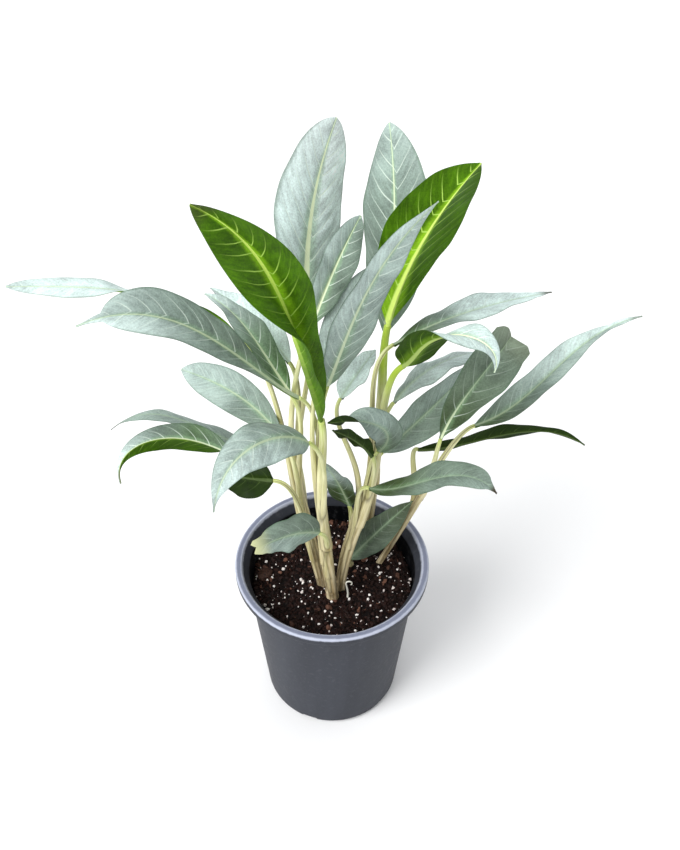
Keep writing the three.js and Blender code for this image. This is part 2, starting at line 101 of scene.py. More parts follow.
# Each leaf: its shoot, the height where its stalk leaves the cane, its full width, how far its
# halves fold up, where along it is widest, the points its midrib passes and the way its upper
# face looks. Some also have how slowly the base (taper) and the tip (point) fill out, a drawn-out
# tail as a share of the length, a base that is folded more (base_fold) and rolled round the stalk
# (roll, its half width), a thicker stalk, a twist in degrees and another way for the tip to face.
#
# Then how it looks, as one number or several from the stalk to the tip: silver (0 dark green, 1
# almost white, above 1 paler still, below 0 bare green), fresh is how vivid the green of
# its bare side is, midrib how bright its veins are and rib the midrib's half width in
# millimetres. silver and fresh are partly the leaf's own colour and partly painted light
# and shade: silver is raised to a painted highlight on lit tips and lowered to painted shade on
# shaded bases, and the green is painted vivid where light shines through a leaf and dark where it
# lies in shade. halves lowers the silver of its left and right half, seen from the stalk, as
# painted shade on a half turned from the light, and as painted light where it is below 0. Bare
# leaves have no silver on either face, and a half turned leaf has it on half of its underside
# too. juicy is how green its stalk is and neck the stalk's radius where the blade starts. aged is
# how pale and yellow its tip has gone, or how brown where it is below 0. end is how far a broken,
# blunt tip still reaches, from the left margin to the right.
LEAVES = {
    "back_left_tall": dict(shoot="left", joins=190, width=58, fold=0.1, peak=0.58, point=0,
        spine=[(-15, 28, 347), (-17, 52, 382), (-12, 80, 420), (3, 108, 463)],
        face=(0.7, -0.6, 0.4),
        silver=(0.78, 0.95, 1.3), midrib=1, rib=(4.4, 3.8, 2.8), fresh=0.6, halves=(0, -0.15)),
    "back_right_tall": dict(shoot="rear", joins=215, width=55, fold=0.1, peak=0.58, point=0.12,
        spine=[(36, 45, 334), (42, 85, 404), (38, 120, 454)], face=(-0.6, -0.7, 0.4),
        silver=(0.35, 0.42, 0.68), midrib=0.7, rib=1.8),
    "new_left": dict(shoot="front", joins=185, width=48, fold=0.6, base_fold=0.92, peak=0.62,
        taper=0.15, point=0.1, roll=14, stalk=4,
        spine=[(-7, -20, 313), (-21, -30, 382), (-33, -43, 437), (-50, -57, 478), (-71, -64, 499)],
        face=(1, 0, 0.1), tip_face=(-0.15, -0.75, 0),
        bare=True, fresh=(0.72, 0.8, 1.15, 1, 0.85), midrib=(0, 0.1, 0.9, 1, 0.9),
        rib=(3, 4.2, 4, 2.4), juicy=0.4, neck=2.6, aged=-0.5, aged_from=0.93),
    "new_right": dict(shoot="rear", joins=215, width=56, fold=0.6, peak=0.52, taper=0.2, stalk=4,
        spine=[(37, 28, 355), (43, 27, 383), (57, 25, 424), (85, 15, 480)], face=(-0.1, 1, 0.1),
        bare=True, fresh=(1.25, 1.15, 1, 0.9), midrib=1, rib=(3.4, 2.4, 1.6), juicy=1.3, neck=2.4),
    "centre_upright": dict(shoot="front", joins=180, width=34, peak=0.45,
        spine=[(-3, -10, 334), (8, -14, 375), (26, -14, 423), (61, 2, 463)], face=(0.5, -0.9, 0),
        silver=(0.42, 0.72, 0.8), halves=(0, 0.12), midrib=0.6, rib=1.8),
    "back_centre": dict(shoot="left", joins=186, width=28, fold=0.5, peak=0.58,
        spine=[(-14, 12, 365), (-1, 38, 386), (19, 80, 407)], face=(0.4, -0.6, 0.7),
        silver=(0.4, 0.52, 0.6), midrib=0.8, rib=1.8, halves=(-0.18, 0.18)),
    "back_inner": dict(shoot="front", joins=182, width=26,
        spine=[(-7, 2, 341), (9, 26, 366), (32, 56, 386)], face=(0.2, -0.8, 0.7),
        silver=(0.8, 0.8, 0.5)),
    "back_left_low": dict(shoot="left", joins=188, width=29, fold=0.5,
        spine=[(-29, 22, 328), (-55, 58, 336), (-88, 94, 339)], face=(0.2, 0, 1),
        silver=(0.95, 1, 1), midrib=0.1),
    "left_inner": dict(shoot="left", joins=184, width=26, fold=0.5,
        spine=[(-28, -4, 323), (-44, 10, 343), (-59, 26, 357), (-85, 44, 369)],
        face=(0.5, -0.3, 0.9),
        silver=(0, 0.3, 1), fresh=0.7, midrib=(0.9, 0.5, 0.3), rib=1.6, halves=(0, 0.05)),
    "left_long": dict(shoot="front", joins=175, width=37, fold=0.5, peak=0.8, taper=0.5, point=0.3,
        tail=0.08, spine=[(-22, -12, 326), (-54, -22, 364), (-99, -32, 405), (-146, -48, 411)],
        face=(0.5, -0.3, 0.7),
        silver=(0.08, 0.47, 0.9), midrib=0.5, rib=1.8, halves=(-0.06, 0.08)),
    "far_left": dict(shoot="left", joins=180, width=22, fold=0.2, peak=0.6, twist=-145,
        spine=[(-62, 22, 350), (-102, 28, 373), (-147, 32, 381), (-209, 26, 387)],
        face=(0, 0.5, 0.9),
        silver=(0.85, 0.95, 0.95), fresh=0.8, midrib=0.6),
    "left_middle": dict(shoot="left", joins=172, width=33, fold=0.5, peak=0.58,
        spine=[(-34, 0, 276), (-49, 18, 283), (-78, 46, 285), (-113, 74, 279)],
        face=(-0.4, -0.5, 0.8),
        silver=(0.25, 0.6, 0.75), midrib=0.4),
    "left_drooping": dict(shoot="left", joins=165, width=26, fold=0.1, peak=0.42,
        spine=[(-36, 36, 230), (-81, 44, 236), (-128, 55, 250), (-169, 54, 236)],
        face=(0.1, 0.3, 1),
        silver=(0.45, 0.6, 0.5), aged=-0.4, aged_from=0.85),
    "left_curled": dict(shoot="left", joins=158, width=25, taper=0.9, point=0.9,
        spine=[(-36, 20, 249), (-82, 23, 246), (-122, 17, 262), (-146, 4, 259), (-151, -8, 241)],
        face=(0, 0.3, 1), tip_face=(-0.6, 1, -1),
        silver=(0.4, 0.1, 1.2), fresh=0.6, midrib=0.7, half_turned=True, aged=-0.6, aged_from=0.9),
    "front_left_big": dict(shoot="front", joins=165, width=32, fold=0.1, peak=0.45, point=0.3,
        spine=[(-15, -38, 310), (-43, -65, 336), (-60, -88, 338), (-70, -105, 317)],
        face=(0.4, 0, 0.9),
        silver=(0.5, 0.72, 0.9), midrib=0.5, rib=1.6, halves=(-0.08, 0.06)),
    "left_lowest": dict(shoot="left", joins=150, width=32,
        spine=[(-42, -8, 244), (-59, -1, 239), (-86, 10, 233)], face=(0.7, 0.5, -0.5),
        silver=0.1, fresh=0.08),
    "front_small": dict(shoot="front", joins=150, width=32, fold=0.1,
        spine=[(-9, -34, 217), (-29, -48, 231), (-55, -62, 230)], face=(0.5, -0.8, 0.1),
        silver=(0.3, 0.45, 0.5), aged=1, halves=(-0.08, 0.14),
        end=(0.9, 0.95, 0.985, 0.96, 0.93, 0.955, 0.975, 0.94)),
    "front_right_small": dict(shoot="young", joins=124, width=26, peak=0.45,
        spine=[(14, 10, 136), (35, 6, 173), (59, -2, 216)], face=(-0.4, -0.9, 0.1),
        silver=(0.18, 0.12, 0), fresh=0, midrib=0.1),
    "right_low": dict(shoot="right_front", joins=170, width=28, point=-0.25, tail=0.06,
        spine=[(27, -8, 236), (68, -20, 257), (97, -30, 269), (112, -38, 262)], face=(-0.2, 0, 1),
        silver=(-0.2, 0.38, 0.52), midrib=0.1, halves=(0.1, 0), aged=-1, aged_from=0.93),
    "right_thin": dict(shoot="right", joins=185, width=18, fold=0.5, peak=0.45,
        spine=[(65, 40, 229), (113, 50, 229), (162, 50, 238), (192, 42, 231)], face=(-0.1, 1, 0.2),
        silver=0.1, fresh=0.12),
    "far_right": dict(shoot="right", joins=198, width=29, fold=0.5, peak=0.45, tail=0.1,
        spine=[(106, 40, 253), (146, 56, 270), (184, 68, 309), (222, 72, 330)],
        face=(-0.6, -0.3, 0.7),
        silver=(0.05, 0.72, 0.82), midrib=0.3, halves=(-0.08, 0.12), aged=-0.5, aged_from=0.92),
    "right_broad": dict(shoot="right", joins=202, width=40, fold=0.5, peak=0.6, point=-0.25,
        spine=[(77, 8, 270), (95, 13, 312), (114, 22, 339), (124, 35, 345)], face=(0, -1, 0.2),
        silver=(-0.1, 0.15, 0.3), midrib=(0.8, 0.2, 0.15), aged=0.12,
        end=(0.88, 0.92, 0.94, 0.945, 0.945, 0.95, 0.96, 0.975, 0.94)),
    "right_twisted": dict(shoot="right_front", joins=190, width=34, peak=0.35, point=0, stalk=3.2,
        spine=[(47, 4, 340), (58, -5, 363), (80, -17, 381), (95, -25, 379), (100, -31, 363)],
        face=(-0.3, 1, -0.2), tip_face=(0.4, -0.6, 1),
        silver=(0.1, 0.85, 0.95), fresh=0.4, midrib=1, rib=2.2, juicy=0.8, neck=2.2),
    "right_high": dict(shoot="right_front", joins=188, width=30, peak=0.72, point=0.35, tail=0.08,
        spine=[(41, 20, 345), (73, 38, 350), (114, 58, 351), (154, 72, 351)], face=(-0.1, 0.1, 1),
        silver=(-0.4, 0.9, 1), midrib=0.3, aged=-0.8, aged_from=0.9),
    "right_inner": dict(shoot="rear", joins=190, width=30, fold=0.1, peak=0.55,
        spine=[(44, 30, 285), (67, 50, 296), (110, 75, 295)], face=(-0.3, 0.2, 0.9),
        silver=(0.55, 0.75, 0.95), halves=(0, -0.12)),
    "right_middle": dict(shoot="rear", joins=175, width=34, fold=0.5,
        spine=[(37, 18, 247), (69, 32, 274), (105, 55, 302)], face=(0.2, -0.9, 0.4),
        silver=(0.5, 0.38, 0.7), halves=(-0.05, 0.08)),
    "centre_arched": dict(shoot="right_front", joins=180, width=24, peak=0.4, point=-0.15,
        spine=[(33, 4, 261), (37, -7, 290), (20, -20, 312), (-3, -28, 318)], face=(0.6, -2.7, 1.2),
        tip_face=(0, 1, 0),
        silver=(0.05, 0.55, 0.6), fresh=0.1),
    "centre_narrow": dict(shoot="right_front", joins=184, width=16,
        spine=[(28, -4, 265), (15, -14, 290), (0, -24, 308)], face=(0.3, 0.8, 0.5),
        tip_face=(0.2, 0.9, -0.3),
        silver=0.1, fresh=0.1),
    "centre_low": dict(shoot="right_front", joins=158, width=24,
        spine=[(13, 8, 200), (4, 2, 232), (-6, -4, 258)], face=(-0.4, -0.8, 0.6),
        silver=(-0.8, -0.2, 0.7, 0.5), midrib=0.3),
    "back_pale": dict(shoot="right_front", joins=186, width=26, fold=0.5,
        spine=[(6, 8, 308), (19, 24, 319), (30, 37, 327)], face=(-0.3, -0.1, 1),
        silver=(0.8, 0.95, 1), midrib=0.1),
}
USUAL_LEAF = dict(
    fold=0.35, base_fold=None, peak=0.5, taper=0, point=0.15, tail=0, roll=0, twist=0,
    tip_face=None, stalk=2.4, neck=1.4, juicy=0.3, silver=0.3, fresh=0.2, midrib=0.2, rib=1.3,
    halves=(0, 0), bare=False, half_turned=False, aged=0, aged_from=0.72, end=None)
LEAVES = {name: Sizes(**{**USUAL_LEAF, **own}, name=name, phase=BLADE.phase_step * index)
          for index, (name, own) in enumerate(LEAVES.items())}
GREEN_LEAVES = ("new_left", "new_right", "left_lowest", "right_thin", "centre_narrow")

# ---- meshes ----


def put(name, data):
    """A new object in the scene, at the origin."""
    thing = bpy.data.objects.new(name, data)
    bpy.context.scene.collection.objects.link(thing)
    return thing


def smooth(mesh, sharp):
    """Smooth shading, except at edges sharper than so many degrees."""
    mesh.polygons.foreach_set("use_smooth", np.ones(len(mesh.polygons), bool))
    if sharp:
        mesh.set_sharp_from_angle(angle=math.radians(sharp))


def finished_mesh(piece):
    """A copy of a piece's mesh with its modifiers applied."""
    evaluated = piece.evaluated_get(bpy.context.evaluated_depsgraph_get())
    return bpy.data.meshes.new_from_object(evaluated)


def make_piece(name, points, faces, materials, face_materials=None, attributes=None, sharp=None):
    """A mesh object at the origin from points in millimetres. attributes are vectors by point."""
    mesh = bpy.data.meshes.new(name)
    mesh.from_pydata((np.asarray(points, float) * MM).tolist(), [], [tuple(f) for f in faces])
    for material in materials:
        mesh.materials.append(material)
    if face_materials is not None:
        mesh.polygons.foreach_set("material_index", np.asarray(face_materials, np.int32))
    for key, values in (attributes or {}).items():
        layer = mesh.attributes.new(key, "FLOAT_VECTOR", "POINT")
        layer.data.foreach_set("vector", np.asarray(values, np.float32).ravel())
    smooth(mesh, sharp)
    mesh.update()
    return put(name, mesh)


def place(piece, slot, *nodes):
    """The piece rides on the plant's one body and stands for nodes; slot is not used."""
    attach(piece, "root")
    if nodes:
        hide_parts(*nodes)


def band_faces(count, sides, first=0):
    """Quads between equal rings of points, of which the first begins at point first."""
    faces = []
    for ring in range(first, first + (count - 1) * sides, sides):
        for j in range(sides):
            beside = ring + (j + 1) % sides
            faces.append((ring + j, beside, beside + sides, ring + j + sides))
    return faces


def skin_rings(count, sides):
    """Faces of a closed tube over equal rings; a strip of quads closes each end."""
    faces = band_faces(count, sides)
    last = (count - 1) * sides
    for j in range(sides // 2 - 1):
        across = sides - 1 - j
        faces.append((j, across, across - 1, j + 1))
        faces.append((last + j, last + j + 1, last + across - 1, last + across))
    return faces


def through_points(points):
    """A smooth curve through a few points, as a function of shares from 0 to 1, and its span."""
    points = np.asarray(points, float)
    lengths = np.concatenate([[0], np.cumsum(np.linalg.norm(np.diff(points, axis=0), axis=1))])
    knots = lengths / lengths[-1]

    def at(t):
        t = np.asarray(t, float)
        total = np.zeros(t.shape + (3,))
        for i, point in enumerate(points):
            weight = np.ones(t.shape)
            for j, knot in enumerate(knots):
                if j != i:
                    weight = weight * (t - knot) / (knots[i] - knot)
            total += weight[..., None] * point
        return total

    return at, lengths[-1]


def unit(v):
    return v / np.maximum(np.linalg.norm(v, axis=-1, keepdims=True), 1e-9)


def slope(at, t, step=0.001):
    """The direction in which a curve runs."""
    return unit(at(t + step) - at(t - step))


def smooth_step(low, high, x):
    share = np.clip((x - low) / (high - low), 0, 1)
    return share * share * (3 - 2 * share)


# ---- leaves ----


def half_width(leaf, t):
    """Half the blade's width along it, with its roll at the base and its tail at the tip."""
    rise = BLADE.outline * leaf.peak + leaf.taper
    fall = BLADE.outline * (1 - leaf.peak) + leaf.point
    peak = rise / (rise + fall)
    body = np.minimum(t / (1 - leaf.tail), 1)
    share = body ** rise * (1 - body) ** fall / (peak ** rise * (1 - peak) ** fall)
    least = BLADE.base_half_width + (BLADE.tip_half_width - BLADE.base_half_width) * t
    roll = leaf.roll * (1 - np.maximum(1 - t / BLADE.roll_end, 0) ** 2)
    tail = BLADE.tail_half_width * np.minimum((1 - t) / leaf.tail, 1) if leaf.tail else 0
    ends = np.where(t < leaf.peak, roll, tail)
    return np.maximum(np.maximum(leaf.width / 2 * share, least), ends)


def leaf_frame(leaf, at, t):
    """The blade's directions along it: towards the tip, out of its upper face and sideways."""
    tangent = slope(at, t)
    face = np.asarray(leaf.face, float)
    tip_face = np.asarray(leaf.tip_face or leaf.face, float)
    face = face + (tip_face - face) * t[..., None]
    up = unit(face - tangent * np.sum(face * tangent, axis=-1, keepdims=True))
    angle = math.radians(leaf.twist) * (t[..., None] - 0.5)
    up = up * np.cos(angle) + np.cross(tangent, up) * np.sin(angle)
    return tangent, up, np.cross(tangent, up)


def vein_phase(leaf, along, across, half):
    """Counts the side veins: they leave the midrib at 50 degrees and bend towards the tip."""
    spacing = VEIN.gap + leaf.width * VEIN.gap_per_width
    reach = VEIN.lean * np.abs(across) + VEIN.bend * across ** 2 / np.maximum(half, 1)
    phase = (along - reach) / spacing + np.where(across > 0, 0.5, 0) + leaf.phase
    return phase + VEIN.uneven * np.sin(VEIN.uneven_pace * phase)


def along_leaf(t, value):
    """A value of a leaf's look: one number, or several from its stalk to its tip."""
    values = np.atleast_1d(value)
    return np.interp(t, np.linspace(0, 1, len(values)), values)


def make_blade(leaf, upper_skin, lower_skin):
    """A leaf's blade as a thin closed skin with its midrib, puckers between veins and waves."""
    at, span = through_points(leaf.spine)
    rows = int(round(span / BLADE.row_length))
    side = np.linspace(0, 1, BLADE.half_columns + 1) ** BLADE.crowding
    u = np.concatenate([-side[::-1], side[1:]])
    t, u = np.meshgrid(np.linspace(0, 1, rows + 1), u, indexing="ij")
    if leaf.end:
        t = t * np.interp(u, np.linspace(-1, 1, len(leaf.end)), leaf.end)
    tangent, up, sideways = leaf_frame(leaf, at, t)
    half = half_width(leaf, np.minimum(t, BLADE.blunt) if leaf.end else t)
    along = t * span
    across = u * half
    calm = np.sin(np.pi * np.clip(t, 0, 1)) ** BLADE.calm
    shift = np.where(u > 0, 0, BLADE.side_shift)
    ripple = np.sin(2 * np.pi * (BLADE.waves * t + leaf.phase) + shift)
    small = np.sin(2 * np.pi * (BLADE.small_waves * t + 2 * leaf.phase) + 1.7 * shift)
    opened = smooth_step(*BLADE.opens, t)
    base_fold = leaf.base_fold or leaf.fold
    fold = base_fold + (leaf.fold - base_fold) * opened
    height = half * (fold * np.abs(u) - BLADE.curl * u * u)
    waves = BLADE.wave * u * u * ripple + u ** 4 * (BLADE.small_wave * small)
    height = height + calm * waves
    phase = vein_phase(leaf, along, across, half)
    pucker = np.abs(np.sin(np.pi * phase)) * np.sin(np.pi * np.clip(np.abs(u), 0, 1)) * calm
    height = height + VEIN.pucker * half * pucker
    reach = across * np.sqrt(1 - fold ** 2)
    upper = at(t) + sideways * reach[..., None] + up * height[..., None]
    down = unit(np.cross(np.gradient(upper, axis=0), np.gradient(upper, axis=1)))
    edge = np.abs(u)
    skin = BLADE.margin_skin + (BLADE.skin - BLADE.margin_skin) * (1 - edge ** 3)
    rib = RIB.height * (1 - t) ** RIB.fade + RIB.least
    rib = rib * np.exp(-(across / (RIB.half_width - RIB.narrowing * t)) ** 2)
    lower = upper + down * (skin + rib)[..., None]
    ring = np.concatenate([upper, lower[:, ::-1]], axis=1)
    points = ring.reshape(-1, 3)
    points[:, 2] = np.minimum(points[:, 2], cad_box[1][2] / MM)
    sides = ring.shape[1]
    faces = skin_rings(rows + 1, sides)
    columns = u.shape[1] - 1
    silvered = [j < columns and not leaf.bare for j in range(sides)]
    if leaf.half_turned:
        silvered = [j < columns or 1.5 * columns < j < sides - 1 for j in range(sides)]
    face_materials = [0 if s else 1 for s in silvered] * rows + [1] * (len(faces) - rows * sides)
    # The silver and its halves carry painted light and shade as well as the leaf's own silver.
    silver = along_leaf(t, leaf.silver)
    left, right = leaf.halves
    tone = np.stack([silver - np.where(u < 0, left, right), along_leaf(t, leaf.fresh),
                     leaf.aged * smooth_step(leaf.aged_from, 0.98, t)], axis=-1)
    where = np.stack([across, phase, edge], axis=-1)
    rank = np.stack([t, along_leaf(t, leaf.midrib), along_leaf(t, leaf.rib)], axis=-1)
    layers = {key: np.concatenate([values, values[:, ::-1]], axis=1)
              for key, values in (("tone", tone), ("where", where), ("rank", rank))}
    return make_piece("blade_" + leaf.name, points, faces, [upper_skin, lower_skin], face_materials,
                      layers, sharp=60)


# ---- stalks and canes ----


def point_at_height(at, height):
    """Where a rising curve reaches a height."""
    low, high = 0.0, 1.0
    for _ in range(30):
        middle = (low + high) / 2
        if at(middle)[2] < height:
            low = middle
        else:
            high = middle
    return at(low)


def petiole_curve(leaf, cane):
    """The stalk leaves its cane almost along it and runs into the blade along the midrib."""
    at, _ = through_points(leaf.spine)
    start = point_at_height(cane, leaf.joins)
    tangent = slope(at, np.asarray(0.0))
    end = np.asarray(leaf.spine[0], float) - PETIOLE.gap * tangent
    reach = np.linalg.norm(end - start)
    near = start + slope(cane, np.asarray(1.0)) * PETIOLE.rise * reach
    far = end - tangent * PETIOLE.bend * reach

    def curve(s):
        s = np.asarray(s, float)[..., None]
        return ((1 - s) ** 3 * start + 3 * s * (1 - s) ** 2 * near
                + 3 * s * s * (1 - s) * far + s ** 3 * end)

    return curve, reach


def rod_points(curve, stations, radii, sides, groove=0.0, turned=0.0):
    """Rings around a curve, with no twist from ring to ring and a groove along one side."""
    centres = curve(stations)
    tangents = unit(np.gradient(centres, axis=0))
    normal = np.cross(tangents[0], (math.cos(turned), math.sin(turned), 0.2))
    angles = np.arange(sides) * 2 * np.pi / sides
    rings = []
    for centre, tangent, radius in zip(centres, tangents, radii):
        normal = unit(normal - tangent * np.dot(normal, tangent))
        other = np.cross(tangent, normal)
        reach = radius * (1 - groove * np.maximum(np.cos(angles), 0) ** 6)
        rings.append(centre + np.outer(reach * np.cos(angles), normal)
                     + np.outer(reach * np.sin(angles), other))
    return np.asarray(rings)


def spread_angles(angles, least):
    """Pushes directions around a cane apart until none are closer than least."""
    angles = np.array(angles, float)
    for _ in range(30):
        for i in range(len(angles)):
            for j in range(i):
                apart = (angles[i] - angles[j] + np.pi) % (2 * np.pi) - np.pi
                if abs(apart) < least:
                    push = (least - abs(apart)) / 2 * (1 if apart >= 0 else -1)
                    angles[i] += push
                    angles[j] -= push
    return angles


def sheathed_curve(leaf, cane, cane_radius, angle):
    """A stalk with its sheath: it clasps the cane from the soil up and then leaves it."""
    curve, reach = petiole_curve(leaf, cane)
    foot = point_at_height(cane, SUNK + STEM.buried)
    joint = point_at_height(cane, leaf.joins)
    low = (foot[2] - SUNK) / (cane(1.0)[2] - SUNK)
    high = (joint[2] - SUNK) / (cane(1.0)[2] - SUNK)
    climb = np.linalg.norm(joint - foot)
    aside = np.array([math.cos(angle), math.sin(angle), 0]) * cane_radius * STEM.clasp

    def at(share):
        way = np.asarray(share, float) * (climb + reach)
        on_cane = cane(low + (high - low) * np.clip(way / climb, 0, 1))
        free = np.clip((way - climb) / reach, 0, 1)
        centre = np.where((way < climb)[..., None], on_cane, curve(free))
        return centre + aside * (1 - smooth_step(0, 0.5, free))[..., None]

    return at, climb, reach


def make_stems(name, shoot, skin):
    """One shoot: a ringed cane and the grooved stalks of its leaves, which clasp it."""
    cane, span = through_points(shoot.path)
    points, faces, where, tone, axes = [], [], [], [], []

    def join_rod(rings, length, seed, green):
        count, sides = rings.shape[:2]
        base = sum(len(p) for p in points)
        points.append(rings.reshape(-1, 3))
        faces.extend(tuple(base + v for v in face) for face in skin_rings(count, sides))
        s, a = np.meshgrid(np.linspace(0, 1, count), np.arange(sides) / sides, indexing="ij")
        where.append(np.stack([a, s * length, np.full(s.shape, seed)], -1).reshape(-1, 3))
        tone.append(np.stack([green(s), 0 * s, 0 * s], -1).reshape(-1, 3))
        centres = rings.mean(axis=1)
        axes.append((centres, np.linalg.norm(rings - centres[:, None], axis=-1).mean(axis=1)))

    s = np.linspace(0, 1, int(span / STEM.cane_step))
    from_ring = (s * span) % STEM.ring_gap - STEM.ring_gap / 2
    nodes = np.exp(-(from_ring / STEM.ring_width) ** 2)
    radii = shoot.radii[0] + (shoot.radii[1] - shoot.radii[0]) * s
    swell = 1 + STEM.foot_swell * np.exp(-s * span / STEM.foot_length)
    radii = radii * (STEM.slim + STEM.ring_rise * nodes) * swell
    join_rod(rod_points(cane, s, radii, STEM.cane_sides), span, 0.1, lambda s: 0.2 * s)
    own = [leaf for leaf in LEAVES.values() if leaf.shoot == name]
    leans = [np.asarray(leaf.spine[0][:2]) - point_at_height(cane, leaf.joins)[:2] for leaf in own]
    angles = spread_angles([math.atan2(lean[1], lean[0]) for lean in leans],
                           min(STEM.apart, STEM.all_round / len(own)))
    for leaf, angle in zip(own, angles):
        curve, climb, reach = sheathed_curve(leaf, cane, np.mean(shoot.radii), angle)
        length = climb + reach
        s = np.linspace(0, 1, int(length / STEM.stalk_step) + 8)
        free = np.clip((s * length - climb) / reach, 0, 1)
        radii = leaf.stalk + (leaf.neck - leaf.stalk) * free
        sheath = np.exp(-free * reach / STEM.sheath)
        radii = radii * (1 + STEM.sheath_swell * sheath * (free > 0))
        thickened = smooth_step(0, climb, s * length)
        radii = radii * (STEM.thin_foot + (1 - STEM.thin_foot) * thickened)
        seed = leaf.phase % 1
        bound = climb / length
        top = 0.5 + 0.6 * leaf.juicy
        rings = rod_points(curve, s, radii, STEM.stalk_sides, groove=PETIOLE.groove,
                           turned=math.tau * seed)
        join_rod(rings, length, seed, lambda s: (
            0.3 * np.clip(s / bound, 0, 1) + top * np.clip((s - bound) / (1 - bound), 0, 1)))
    for i, rod in enumerate(points):
        others = [axis for j, axis in enumerate(axes) if j != i]
        if others:
            centres, radii = (np.concatenate(part) for part in zip(*others))
            gaps = np.linalg.norm(rod[:, None] - centres[None], axis=-1) - radii[None]
            # Painted shade: points of a rod close to another rod get a darker tone where the stalks
            # crowd.
            tone[i][:, 1] = 1 - smooth_step(*STEM.crevice, gaps.min(axis=1))
    return make_piece("stems_" + name, np.concatenate(points), faces, [skin],
                      attributes={"where": np.concatenate(where), "tone": np.concatenate(tone)})


def make_root(skin):
    """A white root that stands out of the soil beside the front cane and hooks over."""
    def curve(s):
        climb = np.clip(s / ROOT.straight, 0, 1)
        bent = np.clip((s - ROOT.straight) / (1 - ROOT.straight), 0, 1)
        turn = bent * math.radians(ROOT.hook_turn)
        x, y, z = ROOT.foot
        return np.stack([x + ROOT.sway * np.sin(4 * climb) + ROOT.hook * (1 - np.cos(turn)),
                         y + 0 * s, z + ROOT.rise * climb + ROOT.hook * np.sin(turn)], -1)

    s = np.linspace(0, 1, ROOT.rings)
    rings = rod_points(curve, s, ROOT.radius - ROOT.thinning * s, ROOT.sides)
    a, b = np.meshgrid(s, np.arange(ROOT.sides) / ROOT.sides, indexing="ij")
    layers = {"where": np.stack([b, a * ROOT.length, b * 0 + 0.4], -1).reshape(-1, 3),
              "tone": np.stack([a * 0 - 0.6, a * 0, a * 0], -1).reshape(-1, 3)}
    return make_piece("root_curl", rings.reshape(-1, 3), skin_rings(ROOT.rings, ROOT.sides),
                      [skin], attributes=layers)


# ---- pot ----


def wall_radius(height):
    neck = POT.height - POT.rim_drop
    return POT.base_radius + (POT.neck_radius - POT.base_radius) * height / neck


def turned(section, sides):
    """Points and faces of a body turned around Z. Its section is a list of radii and heights
    that begins and ends on the axis."""
    angles = np.arange(sides) * 2 * np.pi / sides
    circle = np.stack([np.cos(angles), np.sin(angles), 0 * angles], axis=1)
    rings = [radius * circle + (0, 0, height) for radius, height in section[1:-1]]
    points = np.concatenate([[(0, 0, section[0][1])], *rings, [(0, 0, section[-1][1])]])
    last = 1 + (len(rings) - 1) * sides
    faces = [(0, 1 + (j + 1) % sides, 1 + j) for j in range(sides)]
    faces += band_faces(len(rings), sides, 1)
    faces += [(last + sides, last + j, last + (j + 1) % sides) for j in range(sides)]
    return points, faces


def arc(centre, radius, first, last, steps):
    """Points of a round corner in the pot's section, from one angle to another in degrees."""
    angles = np.radians(np.linspace(first, last, steps))
    return [(centre[0] + radius * math.cos(a), centre[1] + radius * math.sin(a)) for a in angles]


def pot_section():
    """The moulded wall's section as radius and height: underside, outside, rim, inside, floor.
    The numbers beside the driving sizes are the small steps and corners of the moulding."""
    height, rim, wall, heel = POT.height, POT.rim_radius, POT.wall, POT.heel_radius
    neck_height = height - POT.rim_drop
    neck = wall_radius(neck_height)
    foot = wall_radius(heel) - heel
    outside = [(0, 1), (40, 1), (42, 0)]
    outside += arc((foot, heel), heel, -90, -4, 9)
    outside += [(wall_radius(z), z) for z in np.linspace(14, neck_height, 16)]
    lip = [(neck + 1.8, neck_height + 2.6), (neck + 3.8, neck_height + 5.4)]
    lip += arc((rim - 2.1, neck_height + 4.6), 0.8, 90, 0, 4)
    lip += arc((rim - 0.7, neck_height + 0.7), 0.7, 180, 360, 7)
    lip += arc((rim - 1.5, height - 1.5), 1.5, 0, 90, 7)
    lip += arc((neck + 4.4, height - 1.4), 1.4, 90, 165, 6)
    lip += [(neck + 1.4, neck_height + 3.4), (neck - 1.2, neck_height)]
    inner = [(wall_radius(z) - wall, z) for z in np.linspace(neck_height - 2, heel + 4, 16)]
    floor = [(foot + 0.5, POT.floor + 0.3), (foot - 1, POT.floor), (0, POT.floor)]
    return outside + lip + inner + floor, len(outside) + len(lip)


def make_drain_cutters():
    """Rounded blocks, one for each drain slot in the pot's heel."""
    work = bmesh.new()
    deep, wide, tall = 2 * DRAIN.depth * MM, DRAIN.width * MM, 2 * DRAIN.height * MM
    for i in range(DRAIN.count):
        angle = math.radians(DRAIN.first_angle + 360 / DRAIN.count * i)
        turn = Matrix.Rotation(angle, 4, "Z") @ Matrix.Translation((POT.base_radius * MM, 0, 0))
        shape = turn @ Matrix.Diagonal((deep, wide, tall, 1))
        made = bmesh.ops.create_cube(work, size=1, matrix=shape)
        edges = {edge for vert in made["verts"] for edge in vert.link_edges}
        radial = Vector((math.cos(angle), math.sin(angle), 0))
        long_edges = [e for e in edges
                      if abs((e.verts[1].co - e.verts[0].co).normalized().dot(radial)) > 0.99]
        bmesh.ops.bevel(work, geom=long_edges, offset=DRAIN.corner * MM, segments=4, affect="EDGES",
                        profile=0.5)
    mesh = bpy.data.meshes.new("drain_cutters")
    work.to_mesh(mesh)
    work.free()
    return put("drain_cutters", mesh)


